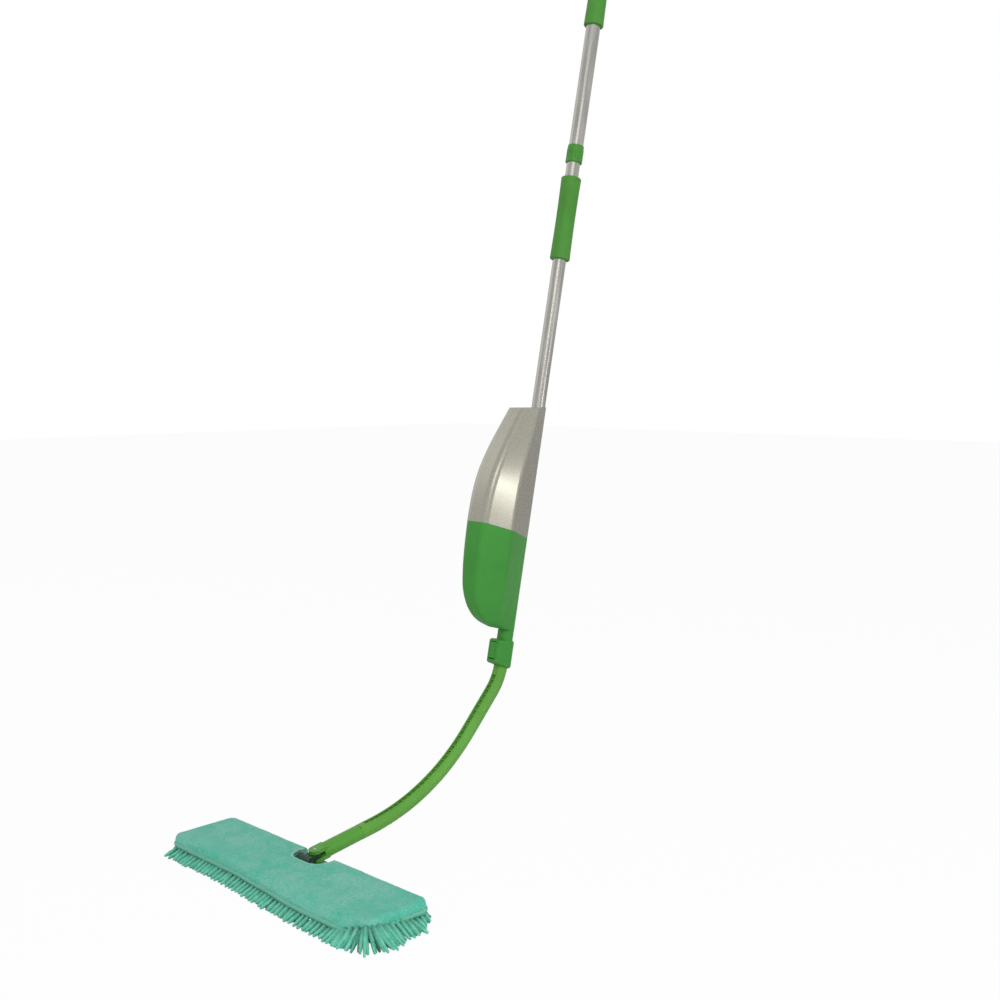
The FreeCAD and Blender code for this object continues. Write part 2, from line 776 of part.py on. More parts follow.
def tank():
    outer = housing_body(tank_levels)
    outer = outer.cut(above(parting_s, parting_slant))
    cavity = housing_body(tank_levels[1:], housing_wall)
    cavity = cavity.common(above(cavity_floor_s, 0))
    cavity = cavity.cut(above(parting_s - deck_thickness, parting_slant))
    tube_room = lower_tube_r + tube_seat
    cavity = cavity.cut(cylinder(tube_room + housing_wall, 0, far))
    body = outer.cut(cavity)
    lip_gap_total = housing_wall + lip_gap
    lip = housing_body(cover_levels[:3], lip_gap_total)
    lip = lip.cut(housing_body(cover_levels[:3], lip_gap_total + lip_thickness))
    lip = lip.common(above(parting_s - deck_thickness, parting_slant))
    lip = lip.cut(above(parting_s + lip_height, parting_slant))
    lip = lip.cut(cylinder(tube_room + housing_wall, 0, far))
    neck_bottom = filler_base_s - 2 * deck_thickness
    filler = cylinder(filler_r, neck_bottom, filler_top_s, 0, filler_y)
    filler = filler.common(above(parting_s - deck_thickness, parting_slant))
    mouth = cylinder(filler_r - filler_wall, neck_bottom, filler_top_s, 0, filler_y)
    body = body.fuse([lip, filler]).cut([mouth, cylinder(tube_room, 0, far)])
    cuts = [cylinder(valve_r, 0, cavity_floor_s, 0, valve_y)]
    for height in tank_screw_levels:
        cuts.append(back_screw_cut(height, screw_seat_y))
    return on_pole(body.cut(cuts))


def filler_cap():
    roof_s = filler_top_s + seal_thickness + cap_clearance
    top = roof_s + cap_wall
    outer = cylinder(cap_r, top - cap_height, top, 0, filler_y)
    rim = [e for e in outer.Edges if abs(e.BoundBox.ZMin - top) < nearly]
    outer = outer.makeFillet(cap_round, rim)
    inner = cylinder(filler_r + cap_clearance, 0, roof_s, 0, filler_y)
    flutes = []
    for i in range(cap_grips):
        angle = 2 * math.pi * i / cap_grips
        flutes.append(cylinder(cap_grip_r, 0, far,
                               cap_r * math.cos(angle), filler_y + cap_r * math.sin(angle)))
    thumb = block(-cap_bar_half, cap_bar_half, filler_y - cap_bar_thickness / 2,
                  filler_y + cap_bar_thickness / 2, roof_s, top + cap_bar_height)
    return on_pole(outer.cut([inner] + flutes).fuse(thumb))


def cap_seal():
    bottom = filler_top_s + cap_clearance
    ring = cylinder(filler_r - seal_margin, bottom, bottom + seal_thickness, 0, filler_y)
    hole = cylinder(filler_r - filler_wall - seal_margin, bottom, bottom + seal_thickness, 0, filler_y)
    return on_pole(ring.cut(hole))


def drip_valve():
    """A moulded rubber valve: a flange inside the tank and a duckbill under it."""
    flange = cylinder(valve_flange_r, cavity_floor_s, cavity_floor_s + valve_flange)
    stem = cylinder(valve_r - valve_gap, valve_tip_s, cavity_floor_s)
    bill = block(-valve_r, valve_r, -bill_slit / 2, bill_slit / 2,
                 valve_tip_s, valve_tip_s + bill_depth)
    body = flange.fuse(stem).cut(bill)
    body.translate(V(0, valve_y, 0))
    return on_pole(body)


def tank_screws():
    return on_pole(Part.makeCompound([back_screw(s, screw_seat_y) for s in tank_screw_levels]))


def tank_cover():
    top = above(cover_top_s, -pole_lean)
    under_top = above(cover_top_s - deck_thickness, -pole_lean)
    outer = housing_body(cover_levels)
    body = outer.common(above(parting_s, parting_slant)).cut(top)
    room = housing_body(cover_levels, housing_wall).cut(under_top)
    body = body.cut(room)
    guide_bore = lower_tube_r + cover_guide_gap
    guide = cylinder(guide_bore + cover_guide_wall, cover_top_s - cover_guide_length, cover_top_s)
    guide = guide.cut(above(cover_top_s - cover_guide_sunk, -pole_lean))
    web = block(-far, far, -web_front, far, web_s, web_s + web_thickness).common(outer)
    bore = cylinder(guide_bore, 0, far)
    return on_pole(body.fuse([guide, web]).cut(bore))


# ---- Pole --------------------------------------------------------------------------
def tube(radius, bottom, top):
    return cylinder(radius, bottom, top).cut(cylinder(radius - tube_wall, bottom, top))


def lower_tube():
    levels = (tube_screw_s,) + tank_screw_levels
    holes = [back_hole(tank_screw_r, 0, level) for level in levels]
    return on_pole(tube(lower_tube_r, tube_stop_s, lower_tube_top_s).cut(holes))


def sleeve(outer, inner, bottom, length, waist):
    """A moulded grip: rounded ends, a slightly narrower middle and a plain bore."""
    top = bottom + length
    mid = bottom + length / 2
    lead = grip_end_round
    half_way = lead * (1 - math.cos(math.pi / 4))
    low_arc = Part.Arc(V(outer - lead, 0, bottom), V(outer - half_way, 0, bottom + half_way),
                       V(outer, 0, bottom + lead))
    flank = Part.Arc(V(outer, 0, bottom + lead), V(outer - waist, 0, mid), V(outer, 0, top - lead))
    high_arc = Part.Arc(V(outer, 0, top - lead), V(outer - half_way, 0, top - half_way),
                        V(outer - lead, 0, top))
    wire = Part.Wire([
        Part.makeLine(V(inner, 0, bottom), V(outer - lead, 0, bottom)), low_arc.toShape(),
        flank.toShape(), high_arc.toShape(),
        Part.makeLine(V(outer - lead, 0, top), V(inner, 0, top)),
        Part.makeLine(V(inner, 0, top), V(inner, 0, bottom))])
    return on_pole(Part.Face(wire).revolve(V(0, 0, 0), V(0, 0, 1), 360))


def ferrule():
    """Sits in the end of the upper tube; its split fingers grip the lower tube."""
    inner = lower_tube_r + collet_gap
    plug = upper_tube_r - tube_wall
    bottom = collar_bottom_s + ferrule_sunk
    top = collar_bottom_s + ferrule_length
    body = turned([
        (inner, bottom), (thread_r - collet_taper, bottom),
        (thread_r, collar_bottom_s + thread_start), (thread_r, upper_tube_bottom_s),
        (plug, upper_tube_bottom_s), (plug, top), (inner, top)])
    slits = []
    for i in range(collet_slits):
        slit = block(-collet_slit / 2, collet_slit / 2, 0, 2 * thread_r,
                     collar_bottom_s, collar_bottom_s + collet_length)
        slit.rotate(V(0, 0, 0), V(0, 0, 1), 45 + i * 360 / collet_slits)
        slits.append(slit)
    return on_pole(body.cut(slits))


def lock_collar():
    bore = thread_r + thread_gap
    mouth = lower_tube_r + collar_mouth_gap
    floor = collar_bottom_s + collar_floor
    body = turned([
        (mouth, collar_bottom_s), (collar_r - collar_edge, collar_bottom_s),
        (collar_r, collar_bottom_s + collar_edge), (collar_r, collar_bottom_s + collar_skirt),
        (collar_top_r, collar_top_s), (bore, collar_top_s), (bore, floor), (mouth, floor)])
    flutes = []
    for i in range(collar_flutes):
        angle = 2 * math.pi * i / collar_flutes
        reach = collar_r + collar_flute_r / 2
        flutes.append(cylinder(collar_flute_r, collar_bottom_s + collar_flute_start,
                               collar_bottom_s + collar_flute_end,
                               reach * math.cos(angle), reach * math.sin(angle)))
    return on_pole(body.cut(flutes))


def guide_bush():
    """A plug in the top of the lower tube that slides in the upper tube."""
    plug_r = lower_tube_r - tube_wall
    head_r = upper_tube_r - tube_wall - bush_gap
    bottom = lower_tube_top_s - bush_length
    top = lower_tube_top_s + bush_head
    plug = cylinder(plug_r, bottom, lower_tube_top_s)
    head = cylinder(head_r, lower_tube_top_s, top)
    return on_pole(plug.fuse(head).cut(cylinder(plug_r - bush_wall, bottom, top)))


def end_cap():
    top = top_grip_top_s + end_cap_height
    plug = cylinder(upper_tube_r - tube_wall, top_grip_top_s - cap_plug_length, top_grip_top_s)
    dome = cylinder(top_grip_r - end_cap_step, top_grip_top_s, top)
    rim = [e for e in dome.Edges if abs(e.BoundBox.ZMin - top) < nearly]
    dome = dome.makeFillet(end_cap_round, rim)
    cheeks = [block(tab_half, far, -far, far, top_grip_top_s + tab_start, far),
              block(-far, -tab_half, -far, far, top_grip_top_s + tab_start, far)]
    hole = cross_cylinder(hang_hole_r, tab_half + past, 0, top - hang_hole_drop)
    return on_pole(plug.fuse(dome).cut(cheeks + [hole]))


# ---- All pieces --------------------------------------------------------------------
os.makedirs("parts", exist_ok=True)
pieces = {
    "pad_sole": pad_sole(),
    "pad_cover": pad_cover(),
    "pad_binding": pad_binding(),
    "pad_fringe": pad_fringe(),
    "frame_plate": frame_plate(),
    "hub": hub(),
    "hub_screws": hub_screws(),
    "pitch_pin": pitch_pin(),
    "joint_cross": joint_cross(),
    "yaw_pin": yaw_pin(),
    "neck_socket": neck_socket(),
    "socket_screw": socket_screw(),
    "neck_arm": neck_arm(),
    "coupling": coupling(),
    "latch_lever": latch_lever(),
    "latch_pin": latch_pin(),
    "latch_spring": latch_spring(),
    "tube_screw": tube_screw(),
    "tank": tank(),
    "tank_screws": tank_screws(),
    "drip_valve": drip_valve(),
    "filler_cap": filler_cap(),
    "cap_seal": cap_seal(),
    "tank_cover": tank_cover(),
    "lower_tube": lower_tube(),
    "mid_grip": sleeve(mid_grip_r, lower_tube_r, mid_grip_bottom_s, mid_grip_length, grip_waist),
    "guide_bush": guide_bush(),
    "ferrule": ferrule(),
    "lock_collar": lock_collar(),
    "upper_tube": on_pole(tube(upper_tube_r, upper_tube_bottom_s, top_grip_top_s)),
    "top_grip": sleeve(top_grip_r, upper_tube_r, top_grip_bottom_s, top_grip_length, grip_waist),
    "end_cap": end_cap(),
}
for name, shape in pieces.items():
    save(name, shape)
    print(name, len(shape.Solids), round(shape.Volume), shape.isValid())
print("pole foot", foot, "lean", pole_lean)
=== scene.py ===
import math
import random

import bmesh
import bpy
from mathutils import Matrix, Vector, noise


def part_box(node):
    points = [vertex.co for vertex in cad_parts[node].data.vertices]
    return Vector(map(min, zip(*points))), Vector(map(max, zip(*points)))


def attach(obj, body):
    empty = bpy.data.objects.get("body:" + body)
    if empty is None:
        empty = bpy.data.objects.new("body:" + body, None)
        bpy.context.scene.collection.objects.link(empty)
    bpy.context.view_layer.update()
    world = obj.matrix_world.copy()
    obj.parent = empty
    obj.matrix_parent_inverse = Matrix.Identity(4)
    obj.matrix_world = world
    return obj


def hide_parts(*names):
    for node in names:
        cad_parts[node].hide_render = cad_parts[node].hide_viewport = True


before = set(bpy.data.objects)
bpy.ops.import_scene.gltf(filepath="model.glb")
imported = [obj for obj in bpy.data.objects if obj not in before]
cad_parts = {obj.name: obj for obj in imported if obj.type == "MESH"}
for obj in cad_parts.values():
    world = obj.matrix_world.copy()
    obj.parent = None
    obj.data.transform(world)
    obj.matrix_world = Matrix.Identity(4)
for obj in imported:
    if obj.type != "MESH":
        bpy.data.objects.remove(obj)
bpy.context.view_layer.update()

# ---- Studio ---------------------------------------------------------------------------
# A white room with a large soft lamp on the right and a weaker one on the left. Two more
# lamps make the reflections on the silver cover and along the tubes. The camera looks at
# the mop from the front right, tipped down a little.
scene = bpy.context.scene
scene.view_settings.view_transform = "Standard"

heading = math.radians(43.91)
dip = math.radians(5.62)
camera_data = bpy.data.cameras.new("camera")
camera_data.sensor_width = 36.0
camera_data.lens = 45.1
camera_data.clip_end = 50.0
camera = bpy.data.objects.new("camera", camera_data)
camera.location = (1.328, -0.978, 0.679)
camera.rotation_euler = (math.pi / 2 - dip, 0.0, heading)
scene.collection.objects.link(camera)
scene.camera = camera


def soft_lamp(name, place, target, size, watts):
    data = bpy.data.lights.new(name, "AREA")
    data.shape = "DISK"
    data.size = size
    data.energy = watts
    lamp = bpy.data.objects.new(name, data)
    lamp.location = place
    lamp.rotation_euler = (Vector(target) - Vector(place)).to_track_quat("-Z", "Y").to_euler()
    scene.collection.objects.link(lamp)
    return lamp


key_lamp = soft_lamp("key_lamp", (2.04, -1.16, 2.16), (0.0, 0.25, 0.45), 2.2, 45.0)
key_lamp.visible_glossy = False
soft_lamp("fill_lamp", (-2.5, -0.5, 1.8), (0.0, 0.25, 0.4), 2.2, 9.0)
soft_lamp("glint_lamp", (2.58, 0.9, 0.8), (0.03, 0.39, 0.5), 0.25, 5.8)
tube_lamp = soft_lamp("tube_lamp", (1.49, -1.16, 1.9), (0.0, 0.45, 0.9), 1.0, 9.0)
tube_lamp.visible_diffuse = False

white_on_mop = 0.4
white_seen = 1.0
world = bpy.data.worlds.new("room")
scene.world = world
world.use_nodes = True
sky = world.node_tree
sky.nodes.clear()


def room_shade(strength):
    """A white background of this strength."""
    shade = sky.nodes.new("ShaderNodeBackground")
    shade.inputs["Color"].default_value = (1.0, 1.0, 1.0, 1.0)
    shade.inputs["Strength"].default_value = strength
    return shade.outputs[0]


def greater(first, second):
    larger = sky.nodes.new("ShaderNodeMath")
    larger.operation = "MAXIMUM"
    sky.links.new(first, larger.inputs[0])
    sky.links.new(second, larger.inputs[1])
    return larger.outputs[0]


rays = sky.nodes.new("ShaderNodeLightPath").outputs
seen = greater(greater(rays["Is Camera Ray"], rays["Is Glossy Ray"]), rays["Is Transmission Ray"])
choice = sky.nodes.new("ShaderNodeMixShader")
sky.links.new(seen, choice.inputs["Fac"])
sky.links.new(room_shade(white_on_mop), choice.inputs[1])
sky.links.new(room_shade(white_seen), choice.inputs[2])
sky_out = sky.nodes.new("ShaderNodeOutputWorld")
sky.links.new(choice.outputs[0], sky_out.inputs["Surface"])


# ---- Frame plate, hub and joint cross -------------------------------------------------
# The ribbed plate inside the pad, the hub screwed on it and the cross that tips and swings
# in the hub's ears: one polypropylene, injection moulded with a fine spark texture and faint
# flow clouds, and duller where it rubs. Its very dark green is painted shade: the shadow in
# the pad's notch, put into the colour of all three pieces.
class Wire:
    """One shader socket that takes part in sums and products."""

    def __init__(self, finish, socket):
        self.finish = finish
        self.socket = socket

    def _with(self, operation, other):
        return self.finish.node("ShaderNodeMath", {"operation": operation}, {0: self, 1: other})

    def __add__(self, other):
        return self._with("ADD", other)

    def __mul__(self, other):
        return self._with("MULTIPLY", other)

    __radd__ = __add__
    __rmul__ = __mul__


def dyed(red, green, blue):
    """The linear colour of one that is seen as these three values, 0 to 255."""
    linear = [c / 12.92 if c <= 0.04045 else ((c + 0.055) / 1.055) ** 2.4
              for c in (red / 255, green / 255, blue / 255)]
    return (*linear, 1.0)


class Finish:
    """One material. Its patterns lie on the piece's own object coordinates."""

    def __init__(self, name, **constants):
        self.material = bpy.data.materials.new(name)
        self.material.use_nodes = True
        self.tree = self.material.node_tree
        self.shader = self.tree.nodes["Principled BSDF"]
        for socket, value in constants.items():
            self.shader.inputs[socket.replace("_", " ")].default_value = value
        self.place = self.node("ShaderNodeTexCoord", out="Object")

    def node(self, kind, settings=None, sockets=None, out=0):
        made = self.tree.nodes.new(kind)
        for key, value in (settings or {}).items():
            setattr(made, key, value)
        for key, value in (sockets or {}).items():
            if isinstance(value, Wire):
                self.tree.links.new(value.socket, made.inputs[key])
            else:
                made.inputs[key].default_value = value
        return Wire(self, made.outputs[out])

    def noise(self, scale, detail=3.0, place=None, roughness=0.55):
        return self.node("ShaderNodeTexNoise", {}, {
            "Vector": place or self.place, "Scale": scale, "Detail": detail,
            "Roughness": roughness})

    def spread(self, wire, low, high):
        """Stretches the part of a 0 to 1 pattern between low and high over 0 to 1."""
        return self.node("ShaderNodeMapRange", {}, {
            "Value": wire, "From Min": low, "From Max": high})

    def mix(self, mask, first, second):
        """The first colour where the mask is 0 and the second where it is 1."""
        return self.node("ShaderNodeMix", {"data_type": "RGBA"}, {0: mask, 6: first, 7: second}, 2)

    def stretched(self, scale):
        return self.node("ShaderNodeMapping", {}, {"Vector": self.place, "Scale": scale})

    def feed(self, wire, socket):
        self.tree.links.new(wire.socket, self.shader.inputs[socket])

    def bump(self, height, distance, strength):
        self.feed(self.node("ShaderNodeBump", {}, {
            "Strength": strength, "Distance": distance, "Height": height}), "Normal")


def moulded(name, pale, dark, roughness, grain=0.00004):
    """The finish of a plastic or rubber moulding, with its grain's depth in metres."""
    finish = Finish(name, IOR=1.36)
    clouds = finish.spread(finish.noise(14.0, 4.0), 0.3, 0.7)
    finish.feed(finish.mix(clouds, dark, pale), "Base Color")
    scuffs = finish.spread(finish.noise(90.0, 5.0), 0.45, 0.75)
    finish.feed(roughness + 0.12 * scuffs, "Roughness")
    finish.bump(finish.noise(2600.0, 2.0), grain, 0.15)
    return finish


def dress(finish, *nodes):
    """Gives CAD pieces their finish."""
    for node in nodes:
        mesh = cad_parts[node].data
        mesh.materials.clear()
        mesh.materials.append(finish.material)


# The very dark green is painted shade, taken from the shadow in the pad's notch.
dress(moulded("frame_plastic_painted_shade", dyed(26, 64, 48), dyed(20, 52, 40), 0.5),
      "frame_plate", "hub", "joint_cross")

# ---- Screws, pins and the latch's spring ----------------------------------------------
# Zinc plated steel: every screw, the joint's two pins, and the latch's pin and spring. They
# come dull grey from the plating barrel, with a slight mottle.
plated = Finish("plated_steel", Metallic=1.0)
plated.feed(plated.mix(plated.noise(300.0), dyed(168, 168, 166), dyed(190, 190, 188)),
            "Base Color")
plated.feed(0.2 * plated.noise(500.0) + 0.2, "Roughness")
dress(plated, "hub_screws", "pitch_pin", "yaw_pin", "socket_screw", "latch_pin",
      "latch_spring", "tube_screw", "tank_screws")

# ---- Socket and neck ------------------------------------------------------------------
# The forked socket on the joint's yaw pin and the curved neck that is screwed into it. Both
# are moulded in the brighter green of the set, the socket a shade deeper.
dress(moulded("socket_plastic", dyed(90, 162, 58), dyed(82, 152, 52), 0.42), "neck_socket")
dress(moulded("neck_plastic", dyed(100, 168, 62), dyed(90, 156, 56), 0.4), "neck_arm")

# ---- Coupling, latch lever and tank ---------------------------------------------------
# The knuckle that the neck plugs into, the lever on a pin that holds it there, and the tank
# above. They are moulded in a cooler, deeper green; knuckle and tank are screwed to the tube.
dress(moulded("housing_plastic", dyed(64, 148, 56), dyed(56, 138, 50), 0.42),
      "coupling", "latch_lever", "tank")

# ---- Filler cap, guide bush and ferrule -----------------------------------------------
# Unpainted grey mouldings that are hidden in use: the cap on the tank's filler mouth, the
# bush that centres the tubes, and the split ferrule that the collar closes.
dress(moulded("grey_plastic", dyed(120, 122, 118), dyed(108, 110, 106), 0.45),
      "filler_cap", "guide_bush", "ferrule")

# ---- Drip valve and cap seal ----------------------------------------------------------
# Black moulded rubber: the valve pressed into the tank's floor, which lets the water out,
# and the ring that seals the filler cap.
seal_rubber = Finish("seal_rubber")
seal_rubber.feed(seal_rubber.mix(seal_rubber.noise(200.0), dyed(28, 28, 28), dyed(40, 40, 40)),
                 "Base Color")
seal_rubber.feed(0.2 * seal_rubber.noise(400.0) + 0.5, "Roughness")
dress(seal_rubber, "drip_valve", "cap_seal")

# ---- Silver cover ---------------------------------------------------------------------
# The moulded shell that slides up the tube to bare the filler cap. It is sprayed in a warm
# grey silver lacquer, full of tiny metal flakes.
silver = Finish("silver_lacquer", Metallic=0.45)
flakes = silver.node("ShaderNodeTexVoronoi", {}, {"Vector": silver.place, "Scale": 2400.0}, "Color")
sparkle = silver.node("ShaderNodeSeparateColor", {}, {"Color": flakes}, "Red")
silver.feed(silver.mix(sparkle, dyed(149, 146, 134), dyed(165, 162, 149)), "Base Color")
silver.feed(0.06 * sparkle + 0.24, "Roughness")
silver.bump(sparkle, 0.00001, 0.15)
dress(silver, "tank_cover")

# ---- Tubes ----------------------------------------------------------------------------
# Two thin steel tubes with a satin chrome finish, one sliding over the other. They are drawn
# lengthwise, so fine lines run along them and the highlight is broad.
tube_steel = Finish("tube_steel", Metallic=0.8)
drawn = tube_steel.noise(1.0, 0.0, tube_steel.stretched((900.0, 60.0, 12.0)))
tube_steel.feed(tube_steel.mix(tube_steel.spread(drawn, 0.3, 0.7),
                               dyed(146, 145, 139), dyed(166, 164, 158)), "Base Color")
tube_steel.feed(0.06 * tube_steel.spread(drawn, 0.2, 0.8) + 0.3, "Roughness")
tube_steel.bump(drawn, 0.00001, 0.1)
dress(tube_steel, "lower_tube", "upper_tube")

# ---- Collar and end cap ---------------------------------------------------------------
# The collar that is twisted to free the telescope, and the cap with the hanging hole in the
# top of the pole: green mouldings, a little darker than the tank.
dress(moulded("collar_plastic", dyed(72, 144, 54), dyed(64, 134, 48), 0.45),
      "lock_collar", "end_cap")

# ---- Grips ----------------------------------------------------------------------------
# Two sleeves of thermoplastic rubber, pushed on the tubes. They are matt and coarser than
# the mouldings, and slightly darker where hands rub.
dress(moulded("grip_rubber", dyed(78, 146, 58), dyed(70, 134, 50), 0.6, 0.00008),
      "mid_grip", "top_grip")

# ---- Pad cover ------------------------------------------------------------------------
# Plush knitted microfibre over a thin foam: a soft slab with rounded shoulders and a notch
# for the joint, pulled over the frame plate. Its front hem hangs loose on the right, and
# the nap lies in soft clouds of light and dark.
MM = 0.001
low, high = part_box("pad_cover")
body_length = high[0] - low[0]
body_depth = high[1] - low[1]
cover_bottom = low[2]
cover_top = high[2]
pad_corner = 12 * MM
straight_x = body_length / 2 - pad_corner
straight_y = body_depth / 2 - pad_corner
outline_length = 4 * (straight_x + straight_y) + 2 * math.pi * pad_corner
hem_flare = 12 * MM
flare_starts, flare_full = -80 * MM, 110 * MM
flare_eases, flare_least = 175 * MM, 215 * MM
flare_lost = 0.6
shoulder = 6 * MM
crown_height = 1.2 * MM
notch_half = 34 * MM
notch_front = 13 * MM
notch_corner = 22 * MM
pocket_corner = 14 * MM
pocket_gap = 0.3 * MM
notch_gap = 0.2 * MM
past = 5 * MM
cover_columns, cover_rows = 216, 54
nap_height = 0.55 * MM
nap_above, nap_beyond = 2 * MM, 4 * MM


def eased(value, start, end):
    """0 before start, 1 past end and a smooth ramp between them."""
    share = min(max((value - start) / (end - start), 0.0), 1.0)
    return share * share * (3 - 2 * share)


def flare(x):
    """How far the loose lower front edge of the cover hangs forward."""
    kept = 1 - flare_lost * eased(x, flare_eases, flare_least)
    return hem_flare * eased(x, flare_starts, flare_full) * kept


def outline_point(distance, out):
    """A point on the pad's rounded outline, this far round and this far outside it."""
    runs = [2 * straight_x, pad_corner * math.pi / 2, 2 * straight_y, pad_corner * math.pi / 2] * 2
    corners = [(straight_x, -straight_y), (straight_x, straight_y),
               (-straight_x, straight_y), (-straight_x, -straight_y)]
    distance %= sum(runs)
    side = 0
    while distance > runs[side]:
        distance -= runs[side]
        side += 1
    quarter = side // 2
    centre = Vector((*corners[quarter], 0.0))
    facing = -math.pi / 2 + quarter * math.pi / 2
    if side % 2:
        facing += distance / pad_corner
    outward = Vector((math.cos(facing), math.sin(facing), 0.0))
    point = centre + outward * (pad_corner + out)
    if side % 2 == 0:
        along = Vector((-outward.y, outward.x, 0.0))
        point -= along * (runs[side] - distance)
    return point, outward


def hem_point(distance, out):
    """A point on the flared hem of the cover, and the way that it faces."""
    point, outward = outline_point(distance, out)
    point.y -= flare(point.x) * max(-outward.y, 0.0)
    return point, outward


def in_corner(x, y):
    """Draws a point of a flat grid in from a square corner to the pad's rounded one."""
    over_x = abs(x) - straight_x
    over_y = abs(y) - straight_y
    if over_x > 0 and over_y > 0:
        share = max(over_x, over_y) / math.hypot(over_x, over_y)
        x = math.copysign(straight_x + over_x * share, x)
        y = math.copysign(straight_y + over_y * share, y)
    return x, y


def add_object(name, bm):
    mesh = bpy.data.meshes.new(name)
    bm.to_mesh(mesh)
    bm.free()
    made = bpy.data.objects.new(name, mesh)
    scene.collection.objects.link(made)
    return made


def smooth(piece):
    for face in piece.data.polygons:
        face.use_smooth = True


def cut(piece, cutter):
    """Takes one solid out of another for good."""
    knife = piece.modifiers.new("cut", "BOOLEAN")
    knife.operation = "DIFFERENCE"
    knife.solver = "EXACT"
    knife.object = cutter
    bpy.context.view_layer.objects.active = piece
    bpy.ops.object.modifier_apply(modifier=knife.name)
    bpy.data.objects.remove(cutter)


def slab(name, half_x, low_y, high_y, bottom, top, corner):
    """An upright prism with rounded corners."""
    bm = bmesh.new()
    bmesh.ops.create_cube(bm, size=1.0)
    bmesh.ops.scale(bm, vec=(2 * half_x, high_y - low_y, top - bottom), verts=bm.verts)
    bmesh.ops.translate(bm, vec=(0, (low_y + high_y) / 2, (bottom + top) / 2), verts=bm.verts)
    upright = [e for e in bm.edges if abs(e.verts[0].co.z - e.verts[1].co.z) > 1e-6]
    bmesh.ops.bevel(bm, geom=upright, offset=corner, segments=10, profile=0.5, affect="EDGES",
                    material=-1)
    return add_object(name, bm)


cover_mesh = bmesh.new()
bmesh.ops.create_grid(cover_mesh, x_segments=cover_columns, y_segments=cover_rows, size=0.5)
flat_x = body_length / 2 - shoulder
flat_y = body_depth / 2 - shoulder
for vert in cover_mesh.verts:
    x, y = in_corner(vert.co.x * 2 * flat_x, vert.co.y * 2 * flat_y)
    crown = (1 - (x / flat_x) ** 4) * (1 - (y / flat_y) ** 4)
    vert.co = (x, y, cover_top - crown_height * (1 - crown))
rim = [e for e in cover_mesh.edges if e.is_boundary]
# Down the side in rows: outward and down in millimetres, and the row's share of the flare.
for out, drop, flare_share in ((2.6, 0.9, 0.0), (2.0, 2.2, 0.1), (1.0, 2.8, 0.25),
                               (0.5, 4.0, 0.35), (0.2, 5.0, 0.3), (0.0, 3.6, 0.0)):
    grown = bmesh.ops.extrude_edge_only(cover_mesh, edges=rim)
    rim = [e for e in cover_mesh.edges if e.is_boundary]
    for vert in [g for g in grown["geom"] if isinstance(g, bmesh.types.BMVert)]:
        corner_x = max(abs(vert.co.x) - straight_x, 0.0)
        corner_y = max(abs(vert.co.y) - straight_y, 0.0)
        outward = Vector((math.copysign(corner_x, vert.co.x),
                          math.copysign(corner_y, vert.co.y), 0)).normalized()
        vert.co += outward * out * MM
        vert.co.z -= drop * MM
        vert.co.y -= flare(vert.co.x) * flare_share * max(-outward.y, 0.0)
bmesh.ops.holes_fill(cover_mesh, edges=rim)
bmesh.ops.recalc_face_normals(cover_mesh, faces=cover_mesh.faces)
pad_plush = add_object("pad_plush", cover_mesh)

plate_low, plate_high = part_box("frame_plate")
cut(pad_plush, slab("pocket", plate_high[0] + pocket_gap, plate_low[1] - pocket_gap,
                    plate_high[1] + pocket_gap, cover_bottom - past,
                    plate_high[2] + pocket_gap, pocket_corner))
cut(pad_plush, slab("notch", notch_half, notch_front, notch_front + 2 * body_depth,
                    plate_high[2] + notch_gap, cover_top + past, notch_corner))

for vert in pad_plush.data.vertices:
    if vert.co.z > plate_high[2] + nap_above or abs(vert.co.x) > plate_high[0] + nap_beyond:
        nap = sum(noise.noise(vert.co * scale) * share
                  for scale, share in ((45.0, 0.7), (160.0, 0.35), (600.0, 0.3)))
        vert.co += vert.normal * nap * nap_height
smooth(pad_plush)

plush = Finish("plush", Sheen_Weight=0.15, Sheen_Roughness=0.5)
lie = plush.spread(plush.noise(22.0, 6.0, roughness=0.7), 0.42, 0.6)
patch = plush.spread(plush.noise(80.0, 5.0, roughness=0.75), 0.42, 0.66)
tuft = plush.noise(480.0, 4.0)
pile_colour = plush.mix(lie, dyed(80, 202, 174), dyed(130, 212, 192))
pile_colour = plush.mix(0.45 * patch, pile_colour, dyed(154, 216, 198))
plush.feed(plush.mix(0.6 * plush.spread(tuft, 0.4, 0.62), pile_colour, dyed(64, 184, 154)),
           "Base Color")
plush.feed(0.1 * tuft + 0.85, "Roughness")
plush.bump(tuft + 0.8 * patch, 0.001, 0.9)
pad_plush.data.materials.clear()
pad_plush.data.materials.append(plush.material)
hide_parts("pad_cover")
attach(pad_plush, "head")

# ---- Binding --------------------------------------------------------------------------
# A folded strip of the same yarn, sewn round the pad where cover, fringe and sole meet. The
# seam puckers it a little, and it rises and falls along the hem.
binding_low, binding_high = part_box("pad_binding")
binding_middle = (binding_low[2] + binding_high[2]) / 2
binding_half = 0.92 * (binding_high[2] - binding_low[2]) / 2
binding_out = 0.8 * MM
binding_thick = 1.1 * MM
pucker_height = 0.5 * MM
wave_height = 1.2 * MM


def join(bm, loops):
    """Makes the faces between each closed ring of points and the next."""
    for lower, upper in zip(loops, loops[1:]):
        for i in range(len(lower)):
            j = (i + 1) % len(lower)
            bm.faces.new((lower[i], lower[j], upper[j], upper[i]))


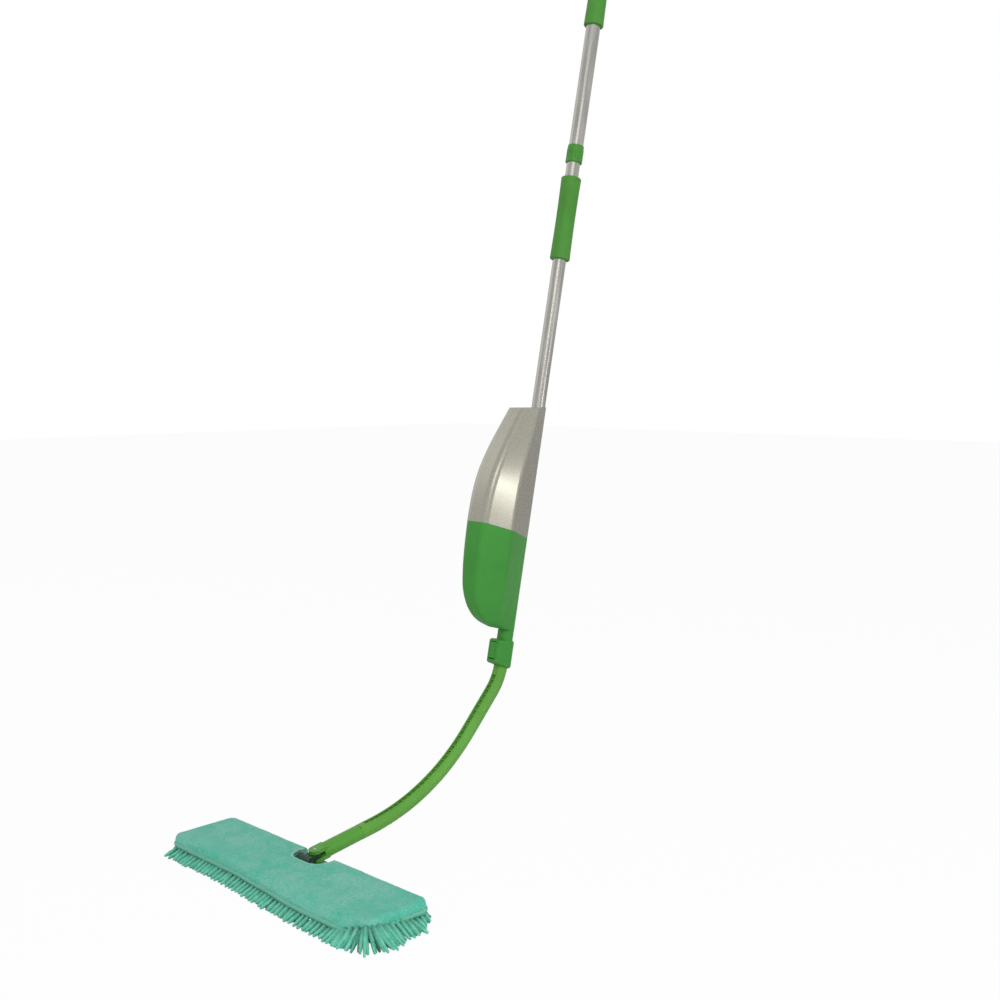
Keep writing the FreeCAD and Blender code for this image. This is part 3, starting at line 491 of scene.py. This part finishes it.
sides = 10
steps = 520
binding_mesh = bmesh.new()
loops = []
for side in range(sides + 1):
    turn = 2 * math.pi * (side % sides) / sides
    loop = []
    for i in range(steps):
        point, outward = hem_point(outline_length * i / steps,
                                   binding_out + binding_thick * math.cos(turn))
        point.z = binding_middle + binding_half * math.sin(turn)
        loop.append(binding_mesh.verts.new(point))
    loops.append(loop)
join(binding_mesh, loops)
bmesh.ops.remove_doubles(binding_mesh, verts=binding_mesh.verts, dist=1e-6)
bmesh.ops.recalc_face_normals(binding_mesh, faces=binding_mesh.faces)
for vert in binding_mesh.verts:
    pucker = noise.noise(vert.co * 140.0) * 0.5 + noise.noise(vert.co * 40.0) * 0.6
    vert.co += vert.normal * pucker * pucker_height
    vert.co.z += noise.noise(Vector((vert.co.x * 18, vert.co.y * 18, 3.0))) * wave_height
pad_edging = add_object("pad_edging", binding_mesh)
smooth(pad_edging)

edging = Finish("edging_yarn", Sheen_Weight=0.25)
twist = edging.noise(700.0)
edging.feed(edging.mix(edging.spread(twist, 0.35, 0.7), dyed(98, 190, 160), dyed(122, 202, 176)),
            "Base Color")
edging.feed(0.1 * twist + 0.8, "Roughness")
edging.bump(twist, 0.0006, 0.8)
pad_edging.data.materials.append(edging.material)
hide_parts("pad_binding")
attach(pad_edging, "head")

# ---- Notch edge -----------------------------------------------------------------------
# The cover's notch is bound with a narrow pale tape, so that the plush can't fray where the
# joint moves in it. It is sewn on flat and ends just short of the rear hem.
tape_end = body_depth / 2 - 7 * MM
tape_half = 2.3 * MM
tape_thick = 1.9 * MM
tape_sunk = 1.7 * MM

route = [Vector((-notch_half, tape_end, 0)), Vector((-notch_half, notch_front + notch_corner, 0))]
bend_steps = 8
for side in (-1, 1):
    for i in range(bend_steps + 1):
        turn = math.pi / 2 * (i if side < 0 else bend_steps - i) / bend_steps
        route.append(Vector((side * (notch_half - notch_corner + notch_corner * math.cos(turn)),
                             notch_front + notch_corner - notch_corner * math.sin(turn), 0)))
route.append(Vector((notch_half, tape_end, 0)))
notch_mesh = bmesh.new()
loops = []
sides = 8
for i, here in enumerate(route):
    along = (route[min(i + 1, len(route) - 1)] - route[max(i - 1, 0)]).normalized()
    across = Vector((along.y, -along.x, 0))
    loop = []
    for side in range(sides):
        turn = 2 * math.pi * side / sides
        place = here + across * tape_half * math.cos(turn)
        place.z = cover_top - tape_sunk + tape_thick * math.sin(turn)
        loop.append(notch_mesh.verts.new(place))
    loops.append(loop)
join(notch_mesh, loops)
notch_mesh.faces.new(loops[0][::-1])
notch_mesh.faces.new(loops[-1])
bmesh.ops.remove_doubles(notch_mesh, verts=notch_mesh.verts, dist=1e-5)
bmesh.ops.recalc_face_normals(notch_mesh, faces=notch_mesh.faces)
notch_edging = add_object("notch_edging", notch_mesh)
smooth(notch_edging)

pale_tape = Finish("pale_tape", Sheen_Weight=0.15)
weave = pale_tape.noise(900.0, 2.0)
pale_tape.feed(pale_tape.mix(pale_tape.spread(weave, 0.35, 0.7),
                             dyed(146, 202, 184), dyed(178, 220, 206)), "Base Color")
pale_tape.feed(0.1 * weave + 0.8, "Roughness")
pale_tape.bump(weave, 0.0004, 0.6)
notch_edging.data.materials.append(pale_tape.material)
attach(notch_edging, "head")

# ---- Fringe ---------------------------------------------------------------------------
# Short twisted microfibre strands, sewn in under the binding in three rows. They lean out
# and down to the floor, long in front, shorter at the ends and cropped along the back. At
# the front right corner they are gathered, twice as dense, and ride up over the plush.
# Painted shade darkens each strand towards its root and along its flanks and underside, and the
# lower rows more.
front_reach = 17 * MM
right_reach = 27 * MM
left_reach = -2 * MM
back_reach = 4 * MM
root_depth = 3 * MM
gather_at = 2 * straight_x + pad_corner * math.pi / 4
gather_span = 32 * MM
gather_lift = 13 * MM
gather_longer = 0.3
end_lift = 6 * MM
cropped = 0.8
crop_starts, crop_full = 14 * MM, body_depth / 2 - 2 * MM
# How strongly painted shade darkens a strand at its root and along its flanks.
root_painted_shade, flank_painted_shade = 0.6, 0.45
sway_most = 2.2 * MM


def reach_at(root, outward):
    """How far the strands lie out here; the right end runs out before the back corner."""
    ahead, behind = max(-outward.y, 0.0), max(outward.y, 0.0)
    if root.x > 0:
        reach = ahead ** 2 * front_reach + outward.x ** 2 * right_reach
    else:
        reach = ahead ** 4 * front_reach + outward.x ** 2 * left_reach
    reach += behind ** 2 * back_reach
    return reach * (1 - cropped * eased(root.y, crop_starts, crop_full) * abs(outward.x))


def add_strand(bm, root, outward, sideways, reach, start_height, thick, sway, row_shift_and_painted_shade):
    """One strand: a tapering tube along a falling curve, with painted shade at its root and flanks.
    """
    shade = bm.verts.layers.float["shade"]
    sides = 6
    rows = 6
    loops = []
    for row in range(rows + 1):
        t = row / rows
        centre = root + outward * ((reach + root_depth) * t - root_depth) + sideways * sway * t * t
        centre.z = thick + (start_height - thick) * (1 - t) ** 1.25
        radius = thick * (0.82 + 0.22 * math.sin(math.pi * min(t + 0.15, 1.0)) ** 0.8)
        if row == rows:
            radius *= 0.8
        fall = (Vector((0, 0, 1)) * (0.5 + 0.5 * t) + outward * (0.8 * (1 - t))).normalized()
        loop = []
        for side in range(sides):
            angle = 2 * math.pi * side / sides + t * 1.4
            away = sideways * math.cos(angle) + fall * math.sin(angle)
            vert = bm.verts.new(centre + away * radius)
            # Painted shade: darker on the flanks and underside, towards the root, and in the lower
            # rows.
            flank = 1 - max(math.sin(angle), 0.0)
            vert[shade] = row_shift_and_painted_shade + root_painted_shade * (1 - t) ** 3 + flank_painted_shade * flank
            loop.append(vert)
        loops.append(loop)
    join(bm, loops)
    bm.faces.new(loops[0][::-1])
    tip = bm.verts.new(centre + outward * thick * 0.5)
    tip[shade] = row_shift_and_painted_shade
    for side in range(sides):
        bm.faces.new((loops[-1][side], loops[-1][(side + 1) % sides], tip))


random.seed(21)
fringe_mesh = bmesh.new()
fringe_mesh.verts.layers.float.new("shade")
# Three rows all round, and two that only fill the gathered corner: pitch and start height in
# millimetres, share of the reach, thickness in millimetres, painted shade of the row, which
# also shifts the row along the hem by that share of a pitch, and least gather.
for pitch, start, reach_share, thick, row_shift_and_painted_shade, least_gather in (
        (8.6, 11.0, 1.0, 2.9, 0.0, 0.0), (8.6, 8.5, 0.86, 2.6, 0.5, 0.0),
        (7.0, 5.5, 0.7, 2.5, 1.0, 0.0), (3.1, 9.0, 0.86, 2.7, 0.15, 0.3),
        (3.4, 5.0, 0.68, 2.7, 0.5, 0.2)):
    count = int(outline_length / (pitch * MM))
    for i in range(count):
        distance = outline_length * (i + row_shift_and_painted_shade + random.uniform(-0.14, 0.14)) / count
        gathered = math.exp(-((distance - gather_at) / gather_span) ** 2)
        if gathered < least_gather:
            continue
        root, outward = hem_point(distance, 0.0)
        sideways = Vector((-outward.y, outward.x, 0.0))
        reach = reach_at(root, outward) * reach_share * random.uniform(0.88, 1.12)
        reach *= 1 + gather_longer * gathered
        at_end = max(outward.x, 0.0) * (1 - gathered) * (1 - eased(root.y, 0.0, 30 * MM))
        height = (start + random.uniform(-1, 1)) * MM + gather_lift * gathered + end_lift * at_end
        add_strand(fringe_mesh, root, outward, sideways, reach, height,
                   thick * MM * random.uniform(0.9, 1.1), random.uniform(-1, 1) * sway_most, row_shift_and_painted_shade)
bmesh.ops.recalc_face_normals(fringe_mesh, faces=fringe_mesh.faces)
pad_strands = add_object("pad_strands", fringe_mesh)
smooth(pad_strands)

yarn = Finish("fringe_yarn", Sheen_Weight=0.25)
hue = yarn.spread(yarn.noise(120.0, 2.0), 0.35, 0.65)
fibre = yarn.noise(1100.0, 2.0)
yarn_colour = yarn.mix(hue, dyed(80, 202, 168), dyed(126, 230, 202))
yarn_colour = yarn.mix(0.45 * yarn.spread(fibre, 0.4, 0.7), yarn_colour, dyed(152, 234, 210))
# The shade attribute mixes the yarn towards a deep green: painted shade.
painted_shade_share = yarn.node("ShaderNodeAttribute", {"attribute_name": "shade"}, out="Fac")
yarn.feed(yarn.mix(yarn.spread(painted_shade_share, 0.0, 1.2), yarn_colour, dyed(10, 92, 70)), "Base Color")
yarn.feed(0.1 * fibre + 0.8, "Roughness")
yarn.bump(fibre, 0.0006, 0.8)
pad_strands.data.materials.append(yarn.material)
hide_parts("pad_fringe")
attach(pad_strands, "head")

# ---- Sole -----------------------------------------------------------------------------
# The working side: looped microfibre pile in close rows on a knitted backing. It is sewn to
# the cover at the binding, with the pocket for the frame plate between them.
sole_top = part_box("pad_sole")[1][2]
sole_inset = 2 * MM
loop_height = 3.2 * MM
loop_foot = 0.1 * MM
radians_per_metre = 420.0
sole_columns, sole_rows = 210, 50


def row_wave(x, y, along, layer):
    """The up and down of the rows of loops in one direction, a little uneven."""
    return math.sin(along * radians_per_metre + noise.noise(Vector((x * 60, y * 60, layer))) * 1.5)


sole_mesh = bmesh.new()
bmesh.ops.create_grid(sole_mesh, x_segments=sole_columns, y_segments=sole_rows, size=0.5)
for vert in sole_mesh.verts:
    x, y = in_corner(vert.co.x * 2 * (body_length / 2 - sole_inset),
                     vert.co.y * 2 * (body_depth / 2 - sole_inset))
    pile = abs(row_wave(x, y, x, 0) * row_wave(x, y, y, 5))
    vert.co = (x, y, loop_height * (1 - pile) + loop_foot)
rim = [e for e in sole_mesh.edges if e.is_boundary]
grown = bmesh.ops.extrude_edge_only(sole_mesh, edges=rim)
for g in grown["geom"]:
    if isinstance(g, bmesh.types.BMVert):
        g.co.z = sole_top
bmesh.ops.holes_fill(sole_mesh, edges=[e for e in sole_mesh.edges if e.is_boundary])
bmesh.ops.recalc_face_normals(sole_mesh, faces=sole_mesh.faces)
pad_pile = add_object("pad_pile", sole_mesh)
smooth(pad_pile)

sole_pile = Finish("sole_pile", Sheen_Weight=0.3)
knots = sole_pile.noise(400.0)
sole_pile.feed(sole_pile.mix(sole_pile.spread(knots, 0.35, 0.7),
                             dyed(74, 160, 136), dyed(118, 196, 172)), "Base Color")
sole_pile.feed(0.1 * knots + 0.85, "Roughness")
sole_pile.bump(knots, 0.0008, 0.8)
pad_pile.data.materials.append(sole_pile.material)
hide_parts("pad_sole")
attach(pad_pile, "head")

# ---- Floor ----------------------------------------------------------------------------
# A wide pale studio floor, painted matt white. To the camera it is almost plain white, with
# the mop's own soft shadow on it.
floor_half = 12.0
white_share = 0.95
floor_mesh = bmesh.new()
bmesh.ops.create_grid(floor_mesh, x_segments=1, y_segments=1, size=floor_half)
floor = add_object("floor", floor_mesh)
paint = Finish("floor_paint", Roughness=0.9)
paint.feed(paint.mix(paint.noise(2.0), dyed(252, 252, 252), dyed(254, 254, 254)), "Base Color")
glow = paint.node("ShaderNodeEmission", {}, {"Color": (1.0, 1.0, 1.0, 1.0), "Strength": 1.0})
camera_ray = paint.node("ShaderNodeLightPath", out="Is Camera Ray")
lit = Wire(paint, paint.shader.outputs[0])
both = paint.node("ShaderNodeMixShader", {}, {0: white_share * camera_ray, 1: lit, 2: glow})
paint.tree.links.new(both.socket, paint.tree.nodes["Material Output"].inputs["Surface"])
floor.data.materials.append(paint.material)
